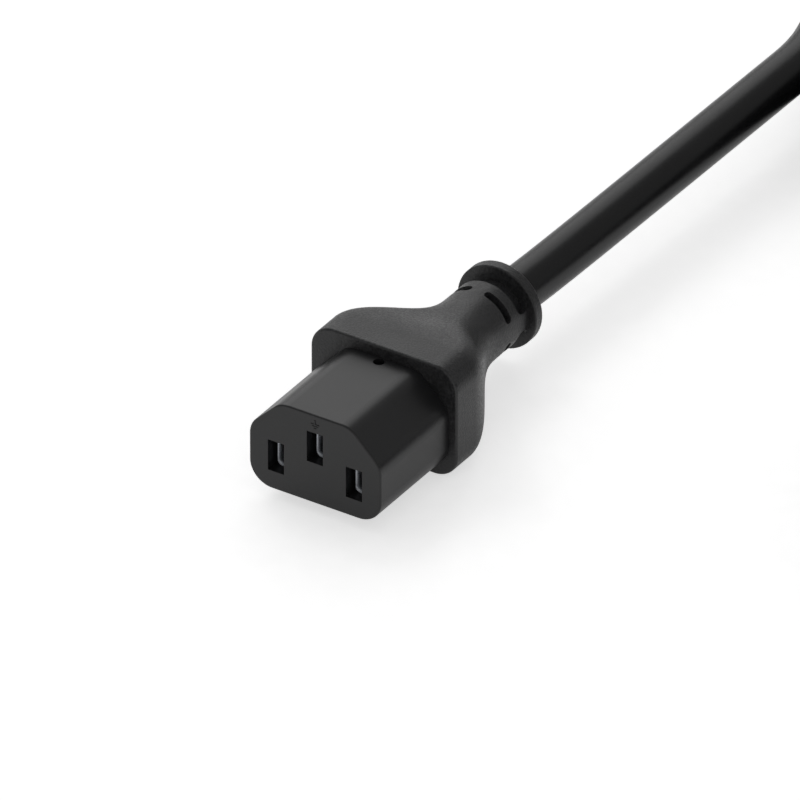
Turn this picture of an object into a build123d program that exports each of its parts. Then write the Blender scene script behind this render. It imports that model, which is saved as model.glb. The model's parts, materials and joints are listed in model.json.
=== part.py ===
from build123d import *
import os
from math import cos, degrees, pi, radians, sin, sqrt, tan

# Power extension cord: a moulded three-hole appliance connector on a round
# three-core cord, with the matching three-pin inlet plug on the far end.
# Lengths are in millimetres. The connector lies on the floor, z = 0, with its
# nose pointing along -Y and the cord leaving along +Y.

# Round cord
CORD_DIAMETER = 7.6
CORE_DIAMETER = 2.3
STRAND_DIAMETER = 1.1
CORE_CIRCLE = 1.4

# Three poles, as seen from the front: earth in the middle, above the other two
POLE_SPACING = 7.0
POLE_RISE = 2.0

# Nose of the connector: upper corners cut at 45 degrees, lower corners round
NOSE_WIDTH = 23.6
NOSE_HEIGHT = 15.8
NOSE_LENGTH = 19.1
NOSE_CUT = 5.5
NOSE_CUT_BEND = 3.8
NOSE_LOWER_RADIUS = 4.0
FACE_EDGE = 0.3
NOSE_WALL = 2.9
ENTRY_WIDTH = 2.9
ENTRY_HEIGHT = 5.4
PIP_DIAMETER = 1.8
PIP_DEPTH = 2.2
PIP_SETBACK = 1.3

# Root of the nose inside the collar
ROOT_WIDTH = 20.0
ROOT_HEIGHT = 12.6
ROOT_LENGTH = 6.0
ROOT_CORNER = 1.5

# Folded spring contacts
SHEET = 0.4
CONTACT_WIDTH = 3.6
CONTACT_HEIGHT = 6.0
CONTACT_BEND = 0.9
CONTACT_SETBACK = 1.6
CONTACT_CLEARANCE = 0.05
SEAM = 0.5
LEAF_BOW = 0.75
LEAF_ROOT = 0.1
LEAF_SETBACK = 0.15
LEAF_LIP = 1.0
LEAF_LIP_RADIUS = 0.8
LEAF_LENGTH = 9.0
LEAF_HEIGHT = 4.6
STRIP_LENGTH = 3.4
BARREL_DIAMETER = 1.9
BARREL_INSET = 0.05
BARREL_LENGTH = 4.4
BARE_LENGTH = 1.4

# Overmoulded body: a flat collar, a shoulder that swells in to a round neck
COLLAR_WIDTH = 26.3
COLLAR_HEIGHT = 19.5
COLLAR_CORNER = 4.1
COLLAR_LENGTH = 4.9
COLLAR_EDGE = 0.4
SHOULDER_LENGTH = 20.4
SHOULDER_HOLLOW = 1.45
SHOULDER_STEPS = 6
NEAR_ROUND = 0.97
NECK_DIAMETER = 11.7
NECK_LENGTH = 6.4
RING_DIAMETER = 14.3
RING_THICKNESS = 1.85
RING_EDGE = 0.25
JACKET_GRIP = 11.0
LEAD_STRAIGHT = 2.4
LEAD_BEND = 3.0

# Flex slots of the neck. Their turns run between the middles of the round ends.
SLOT_FLOOR = 0.8
REAR_SLOT_WIDTH = 2.65
REAR_SLOT_TURN = 124.0
FRONT_SLOT_WIDTH = 1.4
FRONT_SLOT_TURN = 47.0
FRONT_SLOT_MIDDLE = 48.0
SLOT_BAND = 1.85

# Inlet plug on the far end
RECESS_CLEARANCE = 0.4
RECESS_SPARE = 0.4
SHROUD_WALL = 1.8
GRIP_WIDTH = 29.0
GRIP_HEIGHT = 21.0
GRIP_SETBACK = 14.0
GRIP_LENGTH = 16.0
PLUG_SHOULDER_LENGTH = 16.2
PIN_WIDTH = 2.0
PIN_HEIGHT = 4.0
PIN_REACH = 16.5
PIN_TIP = 0.6
HOLDER_PLATE = 3.0
HOLDER_ROOT = 3.5
PIN_TAIL = 1.0
PLUG_X = 81.0
PLUG_Y = 12.0

# Coil of the cord that is put away
TURNS_WIDE = 3
TURNS_HIGH = 2
COIL_MIDDLE_RADIUS = 38.0
COIL_SLACK = 0.4
COIL_Y = 132.0
TIE_THICKNESS = 0.8
TIE_WIDTH = 12.0
TIE_ANGLE = 55.0
TIE_SLACK = 0.4

BODY_LENGTH = COLLAR_LENGTH + SHOULDER_LENGTH + NECK_LENGTH + RING_THICKNESS
CONNECTOR_LENGTH = NOSE_LENGTH + BODY_LENGTH
AXIS_HEIGHT = COLLAR_HEIGHT / 2
PLUG_AXIS_HEIGHT = GRIP_HEIGHT / 2
RECESS_DEPTH = NOSE_LENGTH + RECESS_SPARE
PLUG_LENGTH = GRIP_SETBACK + GRIP_LENGTH + PLUG_SHOULDER_LENGTH + NECK_LENGTH + RING_THICKNESS
CORD_RADIUS = CORD_DIAMETER / 2
NECK_RADIUS = NECK_DIAMETER / 2
NECK_CORNER = NECK_RADIUS * NEAR_ROUND
CONTACT_LENGTH = NOSE_LENGTH - NOSE_WALL - CONTACT_SETBACK
BARREL_OFFSET = (CONTACT_WIDTH - BARREL_DIAMETER) / 2 - BARREL_INSET
COIL_OUTER_TURN = COIL_MIDDLE_RADIUS + (TURNS_WIDE - 1) / 2 * CORD_DIAMETER
COIL_SECTION_WIDTH = TURNS_WIDE * CORD_DIAMETER + COIL_SLACK
COIL_SECTION_HEIGHT = TURNS_HIGH * CORD_DIAMETER + COIL_SLACK

# Mating faces. A sketch on them is drawn as seen from the front, with x to the
# right and y up, so a negative amount runs back towards the cord.
CONNECTOR = Plane(origin=(0, -CONNECTOR_LENGTH / 2, AXIS_HEIGHT), x_dir=(1, 0, 0), z_dir=(0, -1, 0))
PLUG = Plane(origin=(PLUG_X, PLUG_Y, PLUG_AXIS_HEIGHT), x_dir=(1, 0, 0), z_dir=(0, -1, 0))

# Pole places (x, y) on a mating face, and where each core leaves the jacket
POLES = {
    "line": (-POLE_SPACING, -POLE_RISE),
    "neutral": (POLE_SPACING, -POLE_RISE),
    "earth": (0.0, POLE_RISE),
}
CORES = {
    "line": (-CORE_CIRCLE * cos(radians(30)), -CORE_CIRCLE / 2),
    "neutral": (CORE_CIRCLE * cos(radians(30)), -CORE_CIRCLE / 2),
    "earth": (0.0, CORE_CIRCLE),
}


def station(end, back):
    """The sketch plane that lies this far behind a mating face."""
    return end.offset(-back)


def point(end, back, place):
    """A point given by its distance behind a mating face and its place across it."""
    return end.from_local_coords(Vector(place[0], place[1], -back))


def keyed_outline(grow=0.0):
    """Draws the outline of the nose, or one that runs outside it by grow."""
    width = NOSE_WIDTH + 2 * grow
    height = NOSE_HEIGHT + 2 * grow
    cut = NOSE_CUT + grow * (2 - sqrt(2))
    Rectangle(width, height)
    chamfer(vertices().group_by(Axis.Y)[-1], length=cut)
    fillet(vertices().group_by(Axis.Y)[0], radius=NOSE_LOWER_RADIUS + grow)
    rows = vertices().group_by(Axis.Y)
    fillet(rows[-1] + rows[-2], radius=NOSE_CUT_BEND + grow)


def flex_slot(end, back, width, middle, turn):
    """A slot round part of the neck, down to just above the cord, with drilled round ends."""
    slot_floor = CORD_RADIUS + SLOT_FLOOR
    slot_depth = RING_DIAMETER / 2 - slot_floor
    centre = point(end, back, (0, 0))
    with BuildPart() as slot:
        for angle in (middle - turn / 2, middle + turn / 2):
            x, z = cos(radians(angle)), sin(radians(angle))
            outwards = Vector(x, 0, z)
            with BuildSketch(Plane(origin=centre + outwards * slot_floor, z_dir=outwards)):
                Circle(width / 2)
            extrude(amount=slot_depth)
            if angle < middle:
                with BuildSketch(Plane(origin=centre, x_dir=outwards, z_dir=(-z, 0, x))):
                    with Locations((slot_floor + slot_depth / 2, 0)):
                        Rectangle(slot_depth, width)
                revolve(axis=Axis(centre, end.z_dir), revolution_arc=turn)
    return slot.part


def moulded_body(end, front, width, height, straight, shoulder):
    """A straight block, the shoulder that narrows behind it, and the slotted neck with its ring."""
    neck_front = front + straight + shoulder
    ring_front = neck_front + NECK_LENGTH
    rear_row = ring_front - REAR_SLOT_WIDTH / 2
    front_row = ring_front - REAR_SLOT_WIDTH - SLOT_BAND - FRONT_SLOT_WIDTH / 2
    with BuildPart() as block:
        with BuildSketch(station(end, front)):
            RectangleRounded(width, height, COLLAR_CORNER)
        extrude(amount=-straight)
        for step in range(SHOULDER_STEPS + 1):
            share = step / SHOULDER_STEPS
            swell = ((1 + cos(pi * share)) / 2) ** SHOULDER_HOLLOW
            half_width = NECK_RADIUS + (width / 2 - NECK_RADIUS) * swell
            half_height = NECK_RADIUS + (height / 2 - NECK_RADIUS) * swell
            corner = NECK_CORNER + (COLLAR_CORNER - NECK_CORNER) * swell
            with BuildSketch(station(end, front + straight + share * shoulder)):
                RectangleRounded(2 * half_width, 2 * half_height, corner)
        loft()
        with BuildSketch(station(end, neck_front)):
            RectangleRounded(NECK_DIAMETER, NECK_DIAMETER, NECK_CORNER)
        extrude(amount=-NECK_LENGTH)
        with BuildSketch(station(end, ring_front)):
            Circle(RING_DIAMETER / 2)
        extrude(amount=-RING_THICKNESS)
        rims = block.edges().filter_by(GeomType.CIRCLE)
        fillet([rim for rim in rims if rim.radius > NECK_RADIUS + RING_EDGE], radius=RING_EDGE)
        for middle in (90, 270):
            slot = flex_slot(end, rear_row, REAR_SLOT_WIDTH, middle, REAR_SLOT_TURN)
            add(slot, mode=Mode.SUBTRACT)
            for lean in (-1, 1):
                side = middle + lean * (90 - FRONT_SLOT_MIDDLE)
                slot = flex_slot(end, front_row, FRONT_SLOT_WIDTH, side, FRONT_SLOT_TURN)
                add(slot, mode=Mode.SUBTRACT)
    return block.part


def socket_contact(pole, side):
    """A box of folded sheet with a bowed leaf on each wall and a crimp barrel at this side."""
    x, y = POLES[pole]
    box_end = NOSE_WALL + CONTACT_LENGTH
    leaf_front = NOSE_WALL + LEAF_SETBACK - CONNECTOR_LENGTH / 2
    with BuildPart() as contact:
        with BuildSketch(station(CONNECTOR, NOSE_WALL)):
            with Locations((x, y)):
                RectangleRounded(CONTACT_WIDTH, CONTACT_HEIGHT, CONTACT_BEND)
                RectangleRounded(
                    CONTACT_WIDTH - 2 * SHEET,
                    CONTACT_HEIGHT - 2 * SHEET,
                    CONTACT_BEND - SHEET,
                    mode=Mode.SUBTRACT,
                )
            with Locations((x, y + CONTACT_HEIGHT / 2)):
                Rectangle(SEAM, 3 * SHEET, mode=Mode.SUBTRACT)
        extrude(amount=-CONTACT_LENGTH)
        with BuildSketch(station(CONNECTOR, box_end)):
            with Locations((x + side * (CONTACT_WIDTH - SHEET) / 2, y)):
                Rectangle(SHEET, BARREL_DIAMETER)
        extrude(amount=-(STRIP_LENGTH + SHEET))
        with BuildSketch(station(CONNECTOR, box_end + STRIP_LENGTH)):
            with Locations((x + side * BARREL_OFFSET, y)):
                Circle(BARREL_DIAMETER / 2)
                Circle(STRAND_DIAMETER / 2, mode=Mode.SUBTRACT)
        extrude(amount=-BARREL_LENGTH)
        for wall in (-1, 1):
            edge = x + wall * (CONTACT_WIDTH / 2 - SHEET + LEAF_ROOT)
            lip = (edge - wall * LEAF_BOW, leaf_front + LEAF_LIP)
            with BuildSketch(Plane.XY.offset(AXIS_HEIGHT + y)):
                with BuildLine():
                    Polyline((edge, leaf_front), lip, (edge, leaf_front + LEAF_LENGTH), close=True)
                make_face()
                rounded = vertices().sort_by_distance((*lip, 0))[0]
                fillet(rounded, radius=LEAF_LIP_RADIUS)
            extrude(amount=LEAF_HEIGHT / 2, both=True)
    return contact.part


def flat_pin(pole):
    """A flat blade with a bevelled tip, and a crimp barrel behind the holder."""
    x, y = POLES[pole]
    tip = RECESS_DEPTH - PIN_REACH
    blade = PIN_REACH + HOLDER_PLATE + HOLDER_ROOT + PIN_TAIL
    with BuildPart() as pin:
        with BuildSketch(station(PLUG, tip)):
            with Locations((x, y)):
                Rectangle(PIN_WIDTH, PIN_HEIGHT)
        extrude(amount=-blade)
        chamfer(faces().sort_by(Axis.Y)[0].edges(), length=PIN_TIP)
        with BuildSketch(station(PLUG, tip + blade)):
            with Locations((x, y)):
                Circle(BARREL_DIAMETER / 2)
                Circle(STRAND_DIAMETER / 2, mode=Mode.SUBTRACT)
        extrude(amount=-BARREL_LENGTH)
    return pin.part


def bare_strands(end, barrel_front, place):
    """The stripped end of a core: it fills the crimp barrel and shows a little behind it."""
    with BuildPart() as strands:
        with BuildSketch(station(end, barrel_front)):
            with Locations(place):
                Circle(STRAND_DIAMETER / 2)
        extrude(amount=-(BARREL_LENGTH + BARE_LENGTH))
    return strands.part


def insulated_lead(end, lead_front, place, jacket_end, core):
    """An insulated core that fans out from the end of the jacket to its crimp barrel."""
    with BuildPart() as lead:
        with BuildLine() as path:
            FilletPolyline(
                point(end, lead_front, place),
                point(end, lead_front + LEAD_STRAIGHT, place),
                point(end, jacket_end - LEAD_STRAIGHT, core),
                point(end, jacket_end, core),
                radius=LEAD_BEND,
            )
        with BuildSketch(station(end, lead_front)):
            with Locations(place):
                Circle(CORE_DIAMETER / 2)
        sweep(path=path.line)
    return lead.part


def arc_radii(route):
    """For each corner, the largest arc that its two runs allow."""
    radii = []
    for before, corner, after in zip(route, route[1:], route[2:]):
        arriving = Vector(*corner) - Vector(*before)
        leaving = Vector(*after) - Vector(*corner)
        half_turn = radians(arriving.get_angle(leaving) / 2)
        radii.append(0.45 * min(arriving.length, leaving.length) / tan(half_turn))
    return radii


def cord_tube(route, start_plane):
    """A round tube along straight runs that are joined by tangent arcs."""
    radii = arc_radii(route)
    print("arc radii", [round(radius) for radius in radii])
    with BuildPart() as tube:
        with BuildLine() as path:
            FilletPolyline(*route, radius=radii)
        with BuildSketch(start_plane):
            Circle(CORD_RADIUS)
        sweep(path=path.line)
    length = path.wire().length
    print("tube", round(tube.part.volume), "section times length", round(pi * CORD_RADIUS**2 * length))
    return tube.part


def bundle_section(grow, foot, top, mode=Mode.ADD):
    """Draws the section of the bundle of turns, or one that runs round it, beside its axis."""
    width = COIL_SECTION_WIDTH + 2 * grow
    with Locations((COIL_MIDDLE_RADIUS, (foot + top) / 2)):
        RectangleRounded(width, top - foot, CORD_RADIUS + grow, mode=mode)


def radial_plane(angle):
    """The upright plane through the axis of the coil, at this angle from +X."""
    x, y = cos(radians(angle)), sin(radians(angle))
    return Plane(origin=(COIL_OUTER_TURN, COIL_Y, 0), x_dir=(x, y, 0), z_dir=(y, -x, 0))


parts = {}

# Connector, inner pieces
contact_sides = {"line": 1, "neutral": -1, "earth": -1}
barrel_front = NOSE_WALL + CONTACT_LENGTH + STRIP_LENGTH
jacket_end = CONNECTOR_LENGTH - JACKET_GRIP
for pole, side in contact_sides.items():
    x, y = POLES[pole]
    place = (x + side * BARREL_OFFSET, y)
    lead_front = barrel_front + BARREL_LENGTH + BARE_LENGTH
    parts[f"connector_{pole}_contact"] = socket_contact(pole, side)
    parts[f"connector_{pole}_strands"] = bare_strands(CONNECTOR, barrel_front, place)
    parts[f"connector_{pole}_lead"] = insulated_lead(
        CONNECTOR, lead_front, place, jacket_end, CORES[pole]
    )

# Connector nose: entries in front, a chamber behind each, and a root in the collar
with BuildPart() as connector_nose:
    with BuildSketch(station(CONNECTOR, 0)):
        keyed_outline()
    extrude(amount=-NOSE_LENGTH)
    fillet(faces().sort_by(Axis.Y)[0].edges(), radius=FACE_EDGE)
    with BuildSketch(station(CONNECTOR, NOSE_LENGTH)):
        RectangleRounded(ROOT_WIDTH, ROOT_HEIGHT, ROOT_CORNER)
    extrude(amount=-ROOT_LENGTH)
    with BuildSketch(station(CONNECTOR, 0)):
        with Locations(*POLES.values()):
            Rectangle(ENTRY_WIDTH, ENTRY_HEIGHT)
    extrude(amount=-NOSE_WALL, mode=Mode.SUBTRACT)
    with BuildSketch(station(CONNECTOR, NOSE_WALL)):
        with Locations(*POLES.values()):
            Rectangle(
                CONTACT_WIDTH + 2 * CONTACT_CLEARANCE,
                CONTACT_HEIGHT + 2 * CONTACT_CLEARANCE,
            )
    extrude(amount=-(NOSE_LENGTH + ROOT_LENGTH - NOSE_WALL), mode=Mode.SUBTRACT)
    nose_top = Plane.XY.offset(AXIS_HEIGHT + NOSE_HEIGHT / 2)
    with BuildSketch(nose_top):
        with Locations((0, NOSE_LENGTH - CONNECTOR_LENGTH / 2 - PIP_SETBACK)):
            Circle(PIP_DIAMETER / 2)
    extrude(amount=-PIP_DEPTH, mode=Mode.SUBTRACT)
parts["connector_nose"] = connector_nose.part

# Cord from the connector to the coil: points chosen by hand, then its tube
run_route = [
    (0, -CONNECTOR_LENGTH / 2 + jacket_end, AXIS_HEIGHT),
    (0, 38, AXIS_HEIGHT),
    (0, 104, 8.6),
    (0, 119, 9.4),
    (0, 133, 11.6),
]
plug_jacket_end = PLUG_LENGTH - JACKET_GRIP
tail_route = [
    (PLUG_X, PLUG_Y + plug_jacket_end, PLUG_AXIS_HEIGHT),
    (81, 72, PLUG_AXIS_HEIGHT),
    (81, 81.5, 9.5),
    (81.6, 91.5, 7.2),
    (83.6, 101.5, 5.0),
    (87.4, 111.5, 4.0),
    (90.2, 122.6, 4.0),
]

# Coil of the put-away length, with a groove where the tie passes under it
coil_axis = Axis((COIL_OUTER_TURN, COIL_Y, 0), (0, 0, 1))
tie_arc = degrees(TIE_WIDTH / COIL_MIDDLE_RADIUS)
tie_top = COIL_SECTION_HEIGHT + TIE_SLACK
with BuildPart() as coil_tie:
    with BuildSketch(radial_plane(TIE_ANGLE - tie_arc / 2)):
        bundle_section(TIE_THICKNESS, 0, tie_top + TIE_THICKNESS)
        bundle_section(0, TIE_THICKNESS, tie_top, mode=Mode.SUBTRACT)
    revolve(axis=coil_axis, revolution_arc=tie_arc)
parts["coil_tie"] = coil_tie.part

with BuildPart() as cord_coil:
    with BuildSketch(radial_plane(0)):
        bundle_section(0, 0, COIL_SECTION_HEIGHT)
    revolve(axis=coil_axis)
    ring = cord_coil.part
    add(coil_tie.part, mode=Mode.SUBTRACT)
parts["cord_coil"] = cord_coil.part

run_tube = cord_tube(run_route, station(CONNECTOR, jacket_end))
with BuildPart() as cord_run:
    add(run_tube)
    add(ring, mode=Mode.SUBTRACT)
parts["cord_run"] = cord_run.part

tail_tube = cord_tube(tail_route, station(PLUG, plug_jacket_end))
with BuildPart() as cord_tail:
    add(tail_tube)
    add(ring, mode=Mode.SUBTRACT)
parts["cord_tail"] = cord_tail.part

# Connector overmould, moulded round everything that it holds
connector_body = moulded_body(
    CONNECTOR, NOSE_LENGTH, COLLAR_WIDTH, COLLAR_HEIGHT, COLLAR_LENGTH, SHOULDER_LENGTH
)
with BuildPart() as connector_shell:
    add(connector_body)
    fillet(faces().sort_by(Axis.Y)[0].edges(), radius=COLLAR_EDGE)
    with BuildSketch(station(CONNECTOR, NOSE_LENGTH)):
        RectangleRounded(ROOT_WIDTH, ROOT_HEIGHT, ROOT_CORNER)
    extrude(amount=-ROOT_LENGTH, mode=Mode.SUBTRACT)
    for pole in POLES:
        add(parts[f"connector_{pole}_contact"], mode=Mode.SUBTRACT)
        add(parts[f"connector_{pole}_strands"], mode=Mode.SUBTRACT)
        add(parts[f"connector_{pole}_lead"], mode=Mode.SUBTRACT)
    with BuildSketch(station(CONNECTOR, jacket_end)):
        Circle(CORD_RADIUS)
    extrude(amount=-JACKET_GRIP, mode=Mode.SUBTRACT)
parts["connector_shell"] = connector_shell.part

# Plug, inner pieces
holder_end = RECESS_DEPTH + HOLDER_PLATE + HOLDER_ROOT
for pole, place in POLES.items():
    barrel_front = holder_end + PIN_TAIL
    lead_front = barrel_front + BARREL_LENGTH + BARE_LENGTH
    parts[f"plug_{pole}_pin"] = flat_pin(pole)
    parts[f"plug_{pole}_strands"] = bare_strands(PLUG, barrel_front, place)
    parts[f"plug_{pole}_lead"] = insulated_lead(PLUG, lead_front, place, plug_jacket_end, CORES[pole])

# Pin holder at the bottom of the recess
with BuildPart() as plug_pin_holder:
    with BuildSketch(station(PLUG, RECESS_DEPTH)):
        keyed_outline(RECESS_CLEARANCE)
    extrude(amount=-HOLDER_PLATE)
    with BuildSketch(station(PLUG, RECESS_DEPTH + HOLDER_PLATE)):
        RectangleRounded(ROOT_WIDTH, ROOT_HEIGHT, ROOT_CORNER)
    extrude(amount=-HOLDER_ROOT)
    holder = plug_pin_holder.part
    for pole in POLES:
        add(parts[f"plug_{pole}_pin"], mode=Mode.SUBTRACT)
parts["plug_pin_holder"] = plug_pin_holder.part

# Plug overmould: the shroud round the recess, a grip, and the same neck
plug_body = moulded_body(
    PLUG, GRIP_SETBACK, GRIP_WIDTH, GRIP_HEIGHT, GRIP_LENGTH, PLUG_SHOULDER_LENGTH
)
with BuildPart() as plug_shell:
    add(plug_body)
    with BuildSketch(station(PLUG, 0)):
        keyed_outline(RECESS_CLEARANCE + SHROUD_WALL)
    extrude(amount=-GRIP_SETBACK)
    with BuildSketch(station(PLUG, 0)):
        keyed_outline(RECESS_CLEARANCE)
    extrude(amount=-RECESS_DEPTH, mode=Mode.SUBTRACT)
    add(holder, mode=Mode.SUBTRACT)
    for pole in POLES:
        add(parts[f"plug_{pole}_pin"], mode=Mode.SUBTRACT)
        add(parts[f"plug_{pole}_strands"], mode=Mode.SUBTRACT)
        add(parts[f"plug_{pole}_lead"], mode=Mode.SUBTRACT)
    with BuildSketch(station(PLUG, plug_jacket_end)):
        Circle(CORD_RADIUS)
    extrude(amount=-JACKET_GRIP, mode=Mode.SUBTRACT)
parts["plug_shell"] = plug_shell.part

os.makedirs("parts", exist_ok=True)
for name, piece in parts.items():
    piece.label = name
    export_step(piece, f"parts/{name}.step")
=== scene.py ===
# %% [markdown]
# # Power extension cord
# A black moulded appliance connector lies on a table, its nose towards the
# viewer. A round cord leaves it, runs out of the picture, is wound up there in a
# neat coil and ends in the matching inlet plug. The CAD model is the fixed frame:
# its rigid pieces stay as they are and get finishes, and the plain tubes and the
# ring that stand for the cord are replaced by one real cord.

# %% Load the frame
import json
from math import cos, pi, radians, sin

import bpy
import numpy as np
from mathutils import Matrix, Vector

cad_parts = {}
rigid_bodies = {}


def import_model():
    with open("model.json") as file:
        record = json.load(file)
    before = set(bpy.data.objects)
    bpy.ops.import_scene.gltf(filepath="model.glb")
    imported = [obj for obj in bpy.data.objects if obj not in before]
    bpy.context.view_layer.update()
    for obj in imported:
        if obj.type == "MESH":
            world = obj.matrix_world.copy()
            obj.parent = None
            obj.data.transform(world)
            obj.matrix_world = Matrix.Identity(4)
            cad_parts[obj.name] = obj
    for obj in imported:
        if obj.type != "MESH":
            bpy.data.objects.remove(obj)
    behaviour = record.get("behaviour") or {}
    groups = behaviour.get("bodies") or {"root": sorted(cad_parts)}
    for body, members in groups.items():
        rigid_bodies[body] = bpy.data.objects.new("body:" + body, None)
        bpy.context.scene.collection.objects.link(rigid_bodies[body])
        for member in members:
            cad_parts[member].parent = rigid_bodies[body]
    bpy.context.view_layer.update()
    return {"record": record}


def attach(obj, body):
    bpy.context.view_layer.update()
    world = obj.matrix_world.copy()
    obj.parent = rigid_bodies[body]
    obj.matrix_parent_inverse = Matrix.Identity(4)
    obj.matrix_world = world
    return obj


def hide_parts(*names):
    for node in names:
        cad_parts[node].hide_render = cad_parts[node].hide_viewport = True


MM = 0.001


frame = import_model()

# %% [markdown]
# ## Camera
# The picture was taken from above and a third of a right angle to the side of
# straight ahead, with a long lens, so parallel edges stay parallel. A lens of more
# than a metre from four metres away gives that look, and it still works when the
# camera is moved round the whole object. The camera is aimed so that the front of
# the collar lands where it does in the picture.

# %% Place the camera
PICTURE_WIDTH = 0.1209
SENSOR_WIDTH = 36
CAMERA_AZIMUTH = radians(32.8)
CAMERA_ELEVATION = radians(32.7)
CAMERA_DISTANCE = 4.0
COLLAR_FRONT = Vector((0, -0.007225, 0.00975))
COLLAR_RIGHT_OF_MIDDLE = -0.00248
COLLAR_ABOVE_MIDDLE = -0.0003

camera_back = Vector((
    sin(CAMERA_AZIMUTH) * cos(CAMERA_ELEVATION),
    -cos(CAMERA_AZIMUTH) * cos(CAMERA_ELEVATION),
    sin(CAMERA_ELEVATION),
))
camera_right = Vector((cos(CAMERA_AZIMUTH), sin(CAMERA_AZIMUTH), 0))
camera_up = camera_back.cross(camera_right)
aim = COLLAR_FRONT - COLLAR_RIGHT_OF_MIDDLE * camera_right - COLLAR_ABOVE_MIDDLE * camera_up
camera = bpy.data.objects.new("camera", bpy.data.cameras.new("camera"))
camera.data.sensor_width = SENSOR_WIDTH
camera.data.lens = SENSOR_WIDTH * CAMERA_DISTANCE / PICTURE_WIDTH
camera.data.clip_start = 0.1
camera.data.clip_end = 20
camera.matrix_world = Matrix.Translation(aim + CAMERA_DISTANCE * camera_back) @ Matrix(
    (camera_right, camera_up, camera_back)
).transposed().to_4x4()
bpy.context.scene.collection.objects.link(camera)
bpy.context.scene.camera = camera
print("lens", round(camera.data.lens), "mm")

# %% [markdown]
# ## The cord
# The real cord is one flexible length, 7.6 mm thick. Here it is one smooth NURBS
# curve with a round bevel: out of the neck, round a coil in two layers, and back
# into the plug. Where it lies free its points are listed one by one. The coil's
# points come from a formula, because wound turns lie a diameter apart.
#
# The run has to climb onto the upper layer. It does most of that on its straight
# part and drifts to the right as well, because from the camera the two cancel and
# the cord looks as straight as in the picture. The point at 100 mm lies as far
# before the corner at 110 mm as the next one lies after it, so that the bend
# there stays short.

# %% Route of the cord
CORD_DIAMETER = 7.6 * MM
RUN_POINTS = [
    (0, 0.015325, 0.00975),
    (0, 0.0275, 0.00975),
    (0.0005, 0.040, 0.0096),
    (0.0022, 0.100, 0.0107),
    (0.00245, 0.110, 0.01086),
    (0, 0.120, 0.01155),
]
TAIL_POINTS = [
    (0.0904, 0.1195, 0.0040),
    (0.0874, 0.1100, 0.00405),
    (0.0854, 0.1010, 0.0051),
    (0.0820, 0.0913, 0.0071),
    (0.0810, 0.0815, 0.0095),
    (0.0810, 0.0720, 0.0105),
    (0.0810, 0.05545, 0.0105),
]

# %% [markdown]
# The coil has five and a half turns. Spans of it are given in turns from its
# start on the left, such as the two steps inwards in the upper layer, the two
# steps outwards in the lower one, and the drop between the layers. Under the tie
# every turn is lifted a little by the band that passes below.

# %% Measures of the coil
COIL_MIDDLE = (0.0456, 0.1320)
COIL_RADIUS = 38 * MM
COIL_TURNS = 5.5
POINTS_PER_TURN = 16
LOW_LAYER = 3.84 * MM
HIGH_LAYER = 11.72 * MM
STEP_IN = (0.76, 1.04)
STEP_OUT = (0.70, 0.95)
DROP = (2.74, 2.98)
BOW = 1.1 * MM
BOW_SPAN = (2.58, 3.13)
TIE_ANGLE = radians(55)
TIE_LIFT = 0.8 * MM
TIE_LIFT_REACH = pi / 4


def ease(start, end, turns):
    """Goes smoothly from 0 before start to 1 after end: three x squared less two x cubed."""
    share = np.clip((turns - start) / (end - start), 0, 1)
    return share * share * (3 - 2 * share)


def coil_points():
    """Control points of the coil, from above clockwise, starting on its left.

    The radius is that of a spiral whose steps all lie in the same quarter of the
    turn: inwards by a diameter at the end of turns 1 and 2 in the upper layer, and
    outwards again at the end of turns 4 and 5 in the lower one. At the end of the
    third turn the cord drops to the lower layer and bows inwards past its own turns.
    A control polygon lies outside its curve, so it is enlarged by one over the
    cosine of half its step.
    """
    turns = np.arange(0, COIL_TURNS + 0.5 / POINTS_PER_TURN, 1 / POINTS_PER_TURN)
    radius = np.full_like(turns, COIL_RADIUS + CORD_DIAMETER)
    for step in (0, 1):
        radius -= CORD_DIAMETER * ease(step + STEP_IN[0], step + STEP_IN[1], turns)
    for step in (3, 4):
        radius += CORD_DIAMETER * ease(step + STEP_OUT[0], step + STEP_OUT[1], turns)
    height = HIGH_LAYER + (LOW_LAYER - HIGH_LAYER) * ease(*DROP, turns)
    bowed = np.clip((turns - BOW_SPAN[0]) / (BOW_SPAN[1] - BOW_SPAN[0]), 0, 1)
    radius -= BOW * np.sin(pi * bowed) ** 2
    angle = pi - 2 * pi * turns
    from_tie = np.abs((angle - TIE_ANGLE + pi) % (2 * pi) - pi)
    height += TIE_LIFT * np.clip(1 - from_tie / TIE_LIFT_REACH, 0, 1)
    radius /= cos(pi / POINTS_PER_TURN)
    x = COIL_MIDDLE[0] + radius * np.cos(angle)
    y = COIL_MIDDLE[1] + radius * np.sin(angle)
    return np.stack([x, y, height], axis=1)


route = np.concatenate([RUN_POINTS, coil_points(), TAIL_POINTS])
print(len(route), "points on the cord")

# %% [markdown]
# The bevel is one metre deep, so each point's radius is the cord's own radius in
# metres. Order and end points are set after the points, because adding points
# would change them.

# %% Make the cord
cord_curve = bpy.data.curves.new("cord", "CURVE")
cord_curve.dimensions = "3D"
cord_curve.bevel_depth = 1.0
cord_curve.bevel_resolution = 7
cord_curve.resolution_u = 10
cord_curve.use_fill_caps = True
cord_spline = cord_curve.splines.new("NURBS")
cord_spline.points.add(len(route) - 1)
cord_spline.points.foreach_set("co", np.column_stack([route, np.ones(len(route))]).ravel())
cord_spline.points.foreach_set("radius", np.full(len(route), CORD_DIAMETER / 2))
cord_spline.order_u = 3
cord_spline.use_endpoint_u = True
cord = bpy.data.objects.new("cord", cord_curve)
bpy.context.scene.collection.objects.link(cord)
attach(cord, "root")
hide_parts("cord_run", "cord_coil", "cord_tail")
print("spline length", round(cord_spline.calc_length(), 3), "m")

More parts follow.
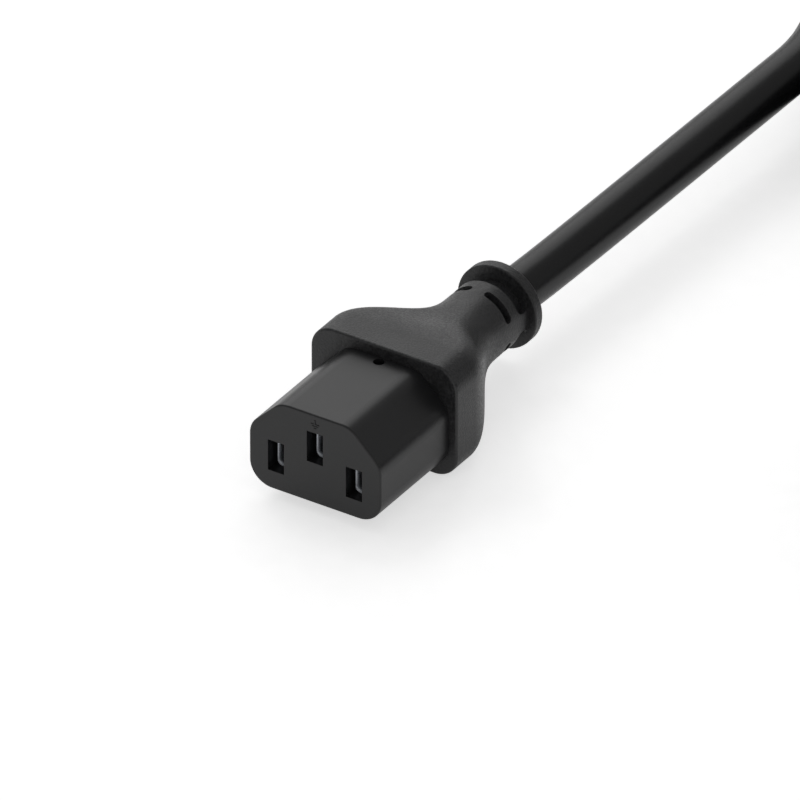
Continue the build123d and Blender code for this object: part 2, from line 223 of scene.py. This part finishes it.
# %% [markdown]
# ## The tie
# A hook-and-loop band holds the coil. It lies once round the bundle of turns and
# its loose end is pressed on top, so the second lap sits a band's thickness
# higher and ends in a round tip. The band is one closed surface, made of rings of
# eight points. Its texture coordinates are metres along and across the band, so
# that the weave keeps its real size.

# %% Shape of the tie
TIE_BAND = 0.75 * MM
TIE_BEVEL = 0.15 * MM
TIE_WIDTH = 12 * MM
TIE_OVERLAP = 15 * MM
TIE_STEPS = 220
CLIMB_BEFORE_LAP = 8 * MM
CLIMB_PAST_LAP = 1 * MM
TIP_SQUARE_LEFT = 0.04
BUNDLE_HALF_WIDTH = 11.65 * MM
BUNDLE_FOOT = 0.8 * MM
BUNDLE_TOP = 16.25 * MM
BUNDLE_CORNER = 3.9 * MM


def round_outline(along, half_width, half_height, corner):
    """Points and outward directions on a rectangle with round corners, and its girth.

    The outline starts in the middle of the top and turns clockwise. Each straight
    run and each quarter circle is followed for as much of the distance along it
    as falls to it.
    """
    half = np.array([half_width, half_height]) - corner
    quarter = corner * pi / 2
    straight = np.array([half[0], 2 * half[1], 2 * half[0], 2 * half[1], half[0]])
    turn = np.full_like(along, pi / 2)
    centre = np.tile(np.array([0.0, half[1]]), (len(along), 1))
    left = along.copy()
    heading = np.array([1.0, 0.0])
    for number, length in enumerate(straight):
        centre += np.clip(left, 0, length)[:, None] * heading
        left -= length
        if number < len(straight) - 1:
            turn -= np.clip(left, 0, quarter) / corner
            left -= quarter
            heading = np.array([heading[1], -heading[0]])
    outward = np.stack([np.cos(turn), np.sin(turn)], axis=1)
    return centre + corner * outward, outward, straight.sum() + 4 * quarter


def tie_mesh():
    """The band as a mesh: a path round the bundle times a section with bevelled edges.

    At the loose end the section narrows like a half circle: by the root of one less
    the square of the share of the tip that is passed.
    """
    bundle = (BUNDLE_HALF_WIDTH, (BUNDLE_TOP - BUNDLE_FOOT) / 2, BUNDLE_CORNER)
    girth = round_outline(np.zeros(1), *bundle)[2]
    end = girth + TIE_OVERLAP
    along = np.linspace(0, end, TIE_STEPS)
    place, outward, _ = round_outline(along % girth, *bundle)
    place[:, 1] += (BUNDLE_TOP + BUNDLE_FOOT) / 2
    rise = TIE_BAND * ease(girth - CLIMB_BEFORE_LAP, girth + CLIMB_PAST_LAP, along)
    half = TIE_WIDTH / 2
    section = np.array([
        (-half + TIE_BEVEL, 0), (half - TIE_BEVEL, 0),
        (half, TIE_BEVEL), (half, TIE_BAND - TIE_BEVEL),
        (half - TIE_BEVEL, TIE_BAND), (-half + TIE_BEVEL, TIE_BAND),
        (-half, TIE_BAND - TIE_BEVEL), (-half, TIE_BEVEL),
    ])
    into_tip = np.clip((along - end + half) / half, 0, 1)
    narrowed = np.sqrt(np.clip(1 - into_tip ** 2, TIP_SQUARE_LEFT, 1))
    across = section[None, :, 0] * narrowed[:, None]
    off = rise[:, None] + section[None, :, 1]
    radius = COIL_RADIUS + place[:, None, 0] + off * outward[:, None, 0]
    height = place[:, None, 1] + off * outward[:, None, 1]
    angle = TIE_ANGLE + across / COIL_RADIUS
    points = np.stack([
        COIL_MIDDLE[0] + radius * np.cos(angle), COIL_MIDDLE[1] + radius * np.sin(angle), height,
    ], axis=2).reshape(-1, 3)
    count = len(section)
    ring, step = np.meshgrid(np.arange(TIE_STEPS - 1), np.arange(count), indexing="ij")
    next_step = (step + 1) % count
    quads = np.stack([
        ring * count + step, ring * count + next_step,
        (ring + 1) * count + next_step, (ring + 1) * count + step,
    ], axis=2).reshape(-1, 4)
    last = (TIE_STEPS - 1) * count
    caps = [list(range(count - 1, -1, -1)), list(range(last, last + count))]
    mesh = bpy.data.meshes.new("tie")
    mesh.from_pydata(points.tolist(), [], quads.tolist() + caps)
    place_on_band = np.stack([np.repeat(along, count), across.ravel()], axis=1)
    corners = np.zeros(len(mesh.loops), dtype=int)
    mesh.loops.foreach_get("vertex_index", corners)
    weave_map = mesh.uv_layers.new(name="weave")
    weave_map.data.foreach_set("uv", place_on_band[corners].ravel())
    mesh.polygons.foreach_set("use_smooth", np.ones(len(mesh.polygons), dtype=bool))
    return mesh


tie = bpy.data.objects.new("tie", tie_mesh())
bpy.context.scene.collection.objects.link(tie)
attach(tie, "root")
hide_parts("coil_tie")
print("tie", len(tie.data.polygons), "faces")

# %% [markdown]
# ## Earth sign
# The face of such a connector carries raised marks. Only the general sign for
# earth stands here, above the middle opening: a stem and three bars that get
# shorter. The other marks are left off. Every stroke is a flat box whose foot is
# sunk a little into the face.

# %% Shape of the earth sign
FACE_Y = -0.026325
SIGN_TOP = 16.75 * MM
SIGN_RISE = 0.09 * MM
SIGN_SUNK = 0.05 * MM
SIGN_STROKE = 0.16 * MM
SIGN_STEM = 0.7 * MM
BARS_BELOW_TOP = (0.78 * MM, 1.13 * MM, 1.48 * MM)
BARS_HALF_WIDTH = (0.75 * MM, 0.48 * MM, 0.2 * MM)

strokes = [(0, SIGN_TOP - SIGN_STEM / 2, SIGN_STROKE / 2, SIGN_STEM / 2)]
for below, half_width in zip(BARS_BELOW_TOP, BARS_HALF_WIDTH):
    strokes.append((0, SIGN_TOP - below, half_width, SIGN_STROKE / 2))
strokes = np.array(strokes)
corner_signs = np.array([(-1, -1), (1, -1), (1, 1), (-1, 1)])
flat = strokes[:, None, :2] + corner_signs[None, :, :] * strokes[:, None, 2:]
foot = np.insert(flat, 1, FACE_Y + SIGN_SUNK, axis=2)
crest = np.insert(flat, 1, FACE_Y - SIGN_RISE, axis=2)
sign_points = np.concatenate([foot, crest], axis=1).reshape(-1, 3)
box_faces = np.array([
    (3, 2, 1, 0), (4, 5, 6, 7), (0, 1, 5, 4), (1, 2, 6, 5), (2, 3, 7, 6), (3, 0, 4, 7),
])
points_before = 8 * np.arange(len(strokes))[:, None, None]
sign_faces = (box_faces[None] + points_before).reshape(-1, 4)
sign_mesh = bpy.data.meshes.new("earth_sign")
sign_mesh.from_pydata(sign_points.tolist(), [], sign_faces.tolist())
earth_sign = bpy.data.objects.new("earth_sign", sign_mesh)
bpy.context.scene.collection.objects.link(earth_sign)
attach(earth_sign, "root")
print("earth sign", len(strokes), "strokes")

# %% [markdown]
# ## Mouths of the contacts
# Behind each opening the two springs of the contact end in a mouth that is rolled
# outwards, so that the pin finds its way in. The rolled edge is what glints in
# the openings. Each mouth is one thin sheet: a quarter circle and a straight
# throat, carried round an oblong with round corners.

# %% Shape of the mouths
AXIS_HEIGHT = 9.75 * MM
POLES = {
    "line": (-7 * MM, AXIS_HEIGHT - 2 * MM),
    "neutral": (7 * MM, AXIS_HEIGHT - 2 * MM),
    "earth": (0, AXIS_HEIGHT + 2 * MM),
}
MOUTH_SETBACK = 1.9 * MM
MOUTH_LENGTH = 2.0 * MM
MOUTH_SHEET = 0.12 * MM
MOUTH_STEPS = 64
ROLL_RADIUS = 0.6 * MM
ROLL_SQUEEZE = 0.75
ROLL_STEPS = 9
THROAT_HALF_WIDTH = 0.5 * MM
THROAT_HALF_HEIGHT = 2.07 * MM
THROAT_CORNER = 0.42 * MM


def mouth_mesh(middle_x, middle_z):
    """The sheet's section carried round the throat.

    A point is the throat's outline, plus the section's height along the outward
    direction, squeezed sideways, plus its depth along y.
    """
    angle = np.linspace(0, pi / 2, ROLL_STEPS)
    inner = ROLL_RADIUS - MOUTH_SHEET
    out = np.concatenate([
        ROLL_RADIUS * (1 - np.cos(angle)),
        ROLL_RADIUS - inner * np.cos(angle[::-1]),
        [MOUTH_SHEET, 0],
    ])
    deep = np.concatenate([
        ROLL_RADIUS * (1 - np.sin(angle)),
        ROLL_RADIUS - inner * np.sin(angle[::-1]),
        [MOUTH_LENGTH, MOUTH_LENGTH],
    ])
    throat = (THROAT_HALF_WIDTH, THROAT_HALF_HEIGHT, THROAT_CORNER)
    girth = round_outline(np.zeros(1), *throat)[2]
    along = np.arange(MOUTH_STEPS) / MOUTH_STEPS * girth
    place, outward, _ = round_outline(along, *throat)
    x = middle_x + place[:, None, 0] + ROLL_SQUEEZE * out * outward[:, None, 0]
    z = middle_z + place[:, None, 1] + out * outward[:, None, 1]
    y = np.broadcast_to(FACE_Y + MOUTH_SETBACK + deep, x.shape)
    count = len(out)
    ring, step = np.meshgrid(np.arange(MOUTH_STEPS), np.arange(count), indexing="ij")
    next_ring = (ring + 1) % MOUTH_STEPS
    next_step = (step + 1) % count
    quads = np.stack([
        ring * count + step, next_ring * count + step,
        next_ring * count + next_step, ring * count + next_step,
    ], axis=2).reshape(-1, 4)
    mesh = bpy.data.meshes.new("mouth")
    mesh.from_pydata(np.stack([x, y, z], axis=2).reshape(-1, 3).tolist(), [], quads.tolist())
    mesh.polygons.foreach_set("use_smooth", np.ones(len(mesh.polygons), dtype=bool))
    return mesh


mouths = []
for pole, middle in POLES.items():
    mouth = bpy.data.objects.new(f"{pole}_contact_mouth", mouth_mesh(*middle))
    bpy.context.scene.collection.objects.link(mouth)
    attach(mouth, "root")
    mouths.append(mouth)
print(len(mouths), "mouths")

# %% [markdown]
# ## Finishes
# Every finish is built from nodes. Colours are written as they look on a screen,
# as hex values, and one function turns them into the linear values that Blender
# needs.

# %% Helpers for materials
def linear(hex_code):
    """The linear colour of an sRGB hex value.

    Each channel is divided by 12.92 where it is dark, and else shifted by 0.055,
    scaled back and raised to the power 2.4.
    """
    channels = np.array([int(hex_code[i:i + 2], 16) for i in (1, 3, 5)]) / 255
    bright = ((channels + 0.055) / 1.055) ** 2.4
    return (*np.where(channels <= 0.04045, channels / 12.92, bright), 1)


def add_node(tree, kind, inputs=None, **settings):
    """Adds a node. An input is a value, or the output socket that feeds it."""
    made = tree.nodes.new(kind)
    for name, value in settings.items():
        setattr(made, name, value)
    for name, value in (inputs or {}).items():
        if isinstance(value, bpy.types.NodeSocket):
            tree.links.new(value, made.inputs[name])
        else:
            made.inputs[name].default_value = value
    return made


def new_material(name):
    """An empty material with its node tree, and the object's own coordinates."""
    material = bpy.data.materials.new(name)
    material.use_nodes = True
    tree = material.node_tree
    tree.nodes.clear()
    place = add_node(tree, "ShaderNodeTexCoord").outputs["Object"]
    return material, tree, place


def two_colours(tree, shade, dark, light, start=0.0, end=1.0):
    """A colour that goes from dark to light while the shade goes from start to end."""
    ramp = add_node(tree, "ShaderNodeValToRGB", {"Fac": shade})
    ramp.color_ramp.elements[0].position = start
    ramp.color_ramp.elements[1].position = end
    ramp.color_ramp.elements[0].color = linear(dark)
    ramp.color_ramp.elements[1].color = linear(light)
    return ramp.outputs["Color"]


def spread_out(tree, value, low, high, to_low=0.0, to_high=1.0):
    """Maps the values between low and high onto another range, and cuts off the rest."""
    mapped = add_node(tree, "ShaderNodeMapRange", {
        "Value": value, "From Min": low, "From Max": high, "To Min": to_low, "To Max": to_high,
    })
    return mapped.outputs["Result"]


def raised(tree, height, depth):
    """The normal of a skin that the height raises by up to the depth in metres."""
    bump = add_node(tree, "ShaderNodeBump", {
        "Height": height, "Strength": 1.0, "Distance": depth,
    })
    return bump.outputs["Normal"]


def finish_with(material, tree, shader):
    """Sends a shader to the material's output."""
    add_node(tree, "ShaderNodeOutputMaterial", {"Surface": shader})
    return material


# %% [markdown]
# A plastic and a metal each have one recipe. Noise keeps mostly near one half, so
# only its middle range is used and spread out over the colours and the roughness.

# %% Recipes
PLASTIC_RANGE = (0.4, 0.6)
METAL_RANGE = (0.3, 0.7)
PATCHES_PER_METRE = 120.0
PATCH_SHARE = 0.25


def moulded(name, dark, light, grain, depth, roughness, spread, ior=1.53):
    """A moulded or extruded plastic whose skin has a fine random grain.

    The grain is noise of the given size in metres, and a quarter of a broader noise
    is mixed in. The mix shades the colour from dark to light and moves the roughness
    by the spread. The fine grain alone raises the skin by the depth.
    """
    material, tree, place = new_material(name)
    fine = add_node(tree, "ShaderNodeTexNoise", {
        "Vector": place, "Scale": 1 / grain, "Detail": 2.0,
    }).outputs["Fac"]
    broad = add_node(tree, "ShaderNodeTexNoise", {
        "Vector": place, "Scale": PATCHES_PER_METRE, "Detail": 1.0,
    }).outputs["Fac"]
    fine_part = add_node(tree, "ShaderNodeMath", {
        0: fine, 1: 1 - PATCH_SHARE,
    }, operation="MULTIPLY").outputs[0]
    shade = add_node(tree, "ShaderNodeMath", {
        0: broad, 1: PATCH_SHARE, 2: fine_part,
    }, operation="MULTIPLY_ADD").outputs[0]
    shader = add_node(tree, "ShaderNodeBsdfPrincipled", {
        "Base Color": two_colours(tree, spread_out(tree, shade, *PLASTIC_RANGE), dark, light),
        "Roughness": spread_out(
            tree, shade, *PLASTIC_RANGE, roughness - spread, roughness + spread),
        "Normal": raised(tree, fine, depth),
        "IOR": ior,
    })
    return finish_with(material, tree, shader.outputs["BSDF"])


def metal(name, dark, light, stretch, grain, roughness, spread, depth):
    """A metal whose skin has fine marks, drawn out along y by the stretch."""
    material, tree, place = new_material(name)
    along = add_node(tree, "ShaderNodeMapping", {"Vector": place, "Scale": (1, 1 / stretch, 1)})
    marks = add_node(tree, "ShaderNodeTexNoise", {
        "Vector": along.outputs["Vector"], "Scale": 1 / grain, "Detail": 3.0,
    }).outputs["Fac"]
    shader = add_node(tree, "ShaderNodeBsdfPrincipled", {
        "Base Color": two_colours(tree, marks, dark, light, *METAL_RANGE),
        "Metallic": 1.0,
        "Roughness": spread_out(
            tree, marks, *METAL_RANGE, roughness - spread, roughness + spread),
        "Normal": raised(tree, marks, depth),
    })
    return finish_with(material, tree, shader.outputs["BSDF"])


# %% [markdown]
# The connector and the plug are moulded from soft PVC in a mould with an eroded
# skin, so they are black with a dull, speckled sheen. Its grain is a third of a
# millimetre, about two pixels of the picture. The nose and the pin holder are
# harder and a little smoother. The jacket of the cord is extruded and the
# smoothest of the three. The cores inside are coloured, and the mottling of the
# earth core stands for its green and yellow stripes.

# %% Plastics
soft_pvc = moulded(
    "moulded_soft_pvc", "#242425", "#363637",
    grain=0.32 * MM, depth=0.07 * MM, roughness=0.4, spread=0.12, ior=1.5,
)
hard_insert = moulded(
    "moulded_hard_insert", "#1e1e1f", "#232324",
    grain=0.18 * MM, depth=0.008 * MM, roughness=0.34, spread=0.04, ior=1.5,
)
jacket = moulded(
    "extruded_pvc_jacket", "#101011", "#151516",
    grain=0.35 * MM, depth=0.006 * MM, roughness=0.32, spread=0.04, ior=1.43,
)
core_skin = {"depth": 0.004 * MM, "roughness": 0.35, "spread": 0.04}
brown_core = moulded("brown_core_insulation", "#5a2f1c", "#6a3a24", grain=0.2 * MM, **core_skin)
blue_core = moulded("blue_core_insulation", "#1f4f8f", "#2a62a8", grain=0.2 * MM, **core_skin)
green_core = moulded("green_core_insulation", "#3f7a2a", "#c9c22c", grain=2.4 * MM, **core_skin)

# %% [markdown]
# The band is a knitted loop fabric: loops a little under a millimetre long in
# rows half as far apart, every second row shifted, with fuzz on top. The rows and
# the fuzz vary the tone at random. The gaps between the loops are coloured near
# black, which is painted shade in the hollows.

# %% Fabric
LOOP_LENGTH = 0.9 * MM
LOOP_ROW = 0.45 * MM
LOOP_GAP = 0.09 * MM
LOOP_RISE = 0.2 * MM
FUZZ_SIZE = 0.2 * MM

tie_fabric, tree, place = new_material("loop_fabric")
on_band = add_node(tree, "ShaderNodeUVMap", uv_map="weave").outputs["UV"]
rows = add_node(tree, "ShaderNodeTexBrick", {
    "Vector": on_band,
    "Scale": 1.0,
    "Brick Width": LOOP_LENGTH,
    "Row Height": LOOP_ROW,
    "Mortar Size": LOOP_GAP,
    "Mortar Smooth": 1.0,
    "Color1": (1, 1, 1, 1),
    "Color2": (0.8, 0.8, 0.8, 1),
    # the gaps are black: painted shade between the loops
    "Mortar": (0, 0, 0, 1),
})
fuzz = add_node(tree, "ShaderNodeTexNoise", {
    "Vector": place, "Scale": 1 / FUZZ_SIZE, "Detail": 3.0,
})
# loop pattern times fuzz: random tone, with painted shade in the gaps
loops = add_node(tree, "ShaderNodeMath", {
    0: rows.outputs["Color"], 1: fuzz.outputs["Fac"],
}, operation="MULTIPLY").outputs[0]
cloth = add_node(tree, "ShaderNodeBsdfPrincipled", {
    "Base Color": two_colours(tree, loops, "#0b0b0c", "#2f2f31"),
    "Roughness": 0.9,
    "Normal": raised(tree, loops, LOOP_RISE),
    "Sheen Weight": 0.25,
})
finish_with(tie_fabric, tree, cloth.outputs["BSDF"])

# %% [markdown]
# The contacts are bent from nickel-plated sheet, which is dull. The pins of the
# plug are nickel-plated brass, warmer in colour and polished. The bare strands
# are copper, and long marks along them stand for the single wires.

# %% Metals
nickel_sheet = metal(
    "nickel_plated_sheet", "#9ea3aa", "#cdd0d4",
    stretch=6, grain=0.12 * MM, roughness=0.52, spread=0.08, depth=0.002 * MM,
)
nickel_pin = metal(
    "nickel_plated_brass", "#a9a69f", "#d4d1ca",
    stretch=8, grain=0.1 * MM, roughness=0.22, spread=0.05, depth=0.002 * MM,
)
copper = metal(
    "bare_copper_strands", "#a8603c", "#d98f63",
    stretch=10, grain=0.18 * MM, roughness=0.3, spread=0.06, depth=0.02 * MM,
)

# %% Give each piece its finish
finishes = {
    "moulded_pvc": soft_pvc,
    "insert_plastic": hard_insert,
    "cord_jacket": jacket,
    "contact_nickel": nickel_sheet,
    "pin_nickel": nickel_pin,
    "copper_strand": copper,
    "line_insulation": brown_core,
    "neutral_insulation": blue_core,
    "earth_insulation": green_core,
    "tie_fabric": tie_fabric,
}
for subpart in frame["record"]["subparts"]:
    node = bpy.data.objects[subpart["node"]]
    node.data.materials.clear()
    node.data.materials.append(finishes[subpart["material_slot"]])
cord_curve.materials.append(jacket)
tie.data.materials.append(tie_fabric)
sign_mesh.materials.append(hard_insert)
for mouth in mouths:
    mouth.data.materials.append(nickel_sheet)
print(len(finishes), "finishes")

# %% [markdown]

# %% [markdown]
# ## Table and light
# The picture has a white ground that burns out to pure white, with one soft
# shadow. The table glows a little on top of the light that falls on it, so only
# the shadow stays below white. For reflections it glows less, which keeps the
# lower sides of the black plastic dark.

# %% Table
TABLE_SIZE = 8.0
TABLE_TOP = -0.0001
GLOW = 0.6
GLOW_MIRRORED = 0.32

floor_mesh = bpy.data.meshes.new("table")
reach = TABLE_SIZE / 2
floor_mesh.from_pydata(
    [(-reach, -reach, 0), (reach, -reach, 0), (reach, reach, 0), (-reach, reach, 0)],
    [], [(0, 1, 2, 3)],
)
floor = bpy.data.objects.new("table", floor_mesh)
floor.location.z = TABLE_TOP
bpy.context.scene.collection.objects.link(floor)
paper, tree, place = new_material("white_table")
fibres = add_node(tree, "ShaderNodeTexNoise", {"Vector": place, "Scale": 300.0})
tone = two_colours(tree, fibres.outputs["Fac"], "#fafafa", "#ffffff")
matt = add_node(tree, "ShaderNodeBsdfDiffuse", {"Color": tone})
ray = add_node(tree, "ShaderNodeLightPath")
mirrored = add_node(tree, "ShaderNodeMath", {
    0: ray.outputs["Is Glossy Ray"], 1: GLOW_MIRRORED,
}, operation="MULTIPLY")
glow_seen = add_node(tree, "ShaderNodeMath", {
    0: ray.outputs["Is Camera Ray"], 1: GLOW, 2: mirrored.outputs[0],
}, operation="MULTIPLY_ADD")
glow = add_node(tree, "ShaderNodeEmission", {"Color": tone, "Strength": glow_seen.outputs[0]})
both = add_node(tree, "ShaderNodeAddShader", {
    0: matt.outputs["BSDF"], 1: glow.outputs["Emission"],
})
finish_with(paper, tree, both.outputs["Shader"])
floor_mesh.materials.append(paper)

# %% [markdown]
# The room is white where the camera sees it and dim as a source of light. A wide
# lamp behind the object gives the top faces their grey sheen. The key lamp, high
# on the left, throws the soft shadow to the right. A weak lamp in front lifts the
# faces that point to the camera.

# %% Light
ROOM_LIGHT = 0.3
ROOM_SEEN = 1.0

bpy.context.scene.view_settings.view_transform = "Standard"
world = bpy.data.worlds.new("studio")
bpy.context.scene.world = world
world.use_nodes = True
world.node_tree.nodes.clear()
ray = add_node(world.node_tree, "ShaderNodeLightPath")
strength = add_node(world.node_tree, "ShaderNodeMapRange", {
    "Value": ray.outputs["Is Camera Ray"], "To Min": ROOM_LIGHT, "To Max": ROOM_SEEN,
})
sky = add_node(world.node_tree, "ShaderNodeBackground", {
    "Color": (1, 1, 1, 1), "Strength": strength.outputs["Result"],
})
add_node(world.node_tree, "ShaderNodeOutputWorld", {"Surface": sky.outputs["Background"]})


def soft_lamp(name, direction, distance, size, radiance):
    """A square lamp that faces the connector. Its power is pi times its area and its radiance."""
    lamp = bpy.data.lights.new(name, "AREA")
    lamp.size = size
    lamp.energy = pi * size * size * radiance
    holder = bpy.data.objects.new(name, lamp)
    holder.location = COLLAR_FRONT + Vector(direction).normalized() * distance
    holder.rotation_mode = "QUATERNION"
    holder.rotation_quaternion = Vector(direction).to_track_quat("Z", "Y")
    bpy.context.scene.collection.objects.link(holder)


soft_lamp("sheen_lamp", (-0.5, 0.66, 0.56), distance=0.9, size=0.75, radiance=0.95)
soft_lamp("key_lamp", (-0.62, 0.2, 0.75), distance=1.4, size=0.5, radiance=2.2)
soft_lamp("front_lamp", (0.5, -0.78, 0.4), distance=1.4, size=0.6, radiance=0.5)
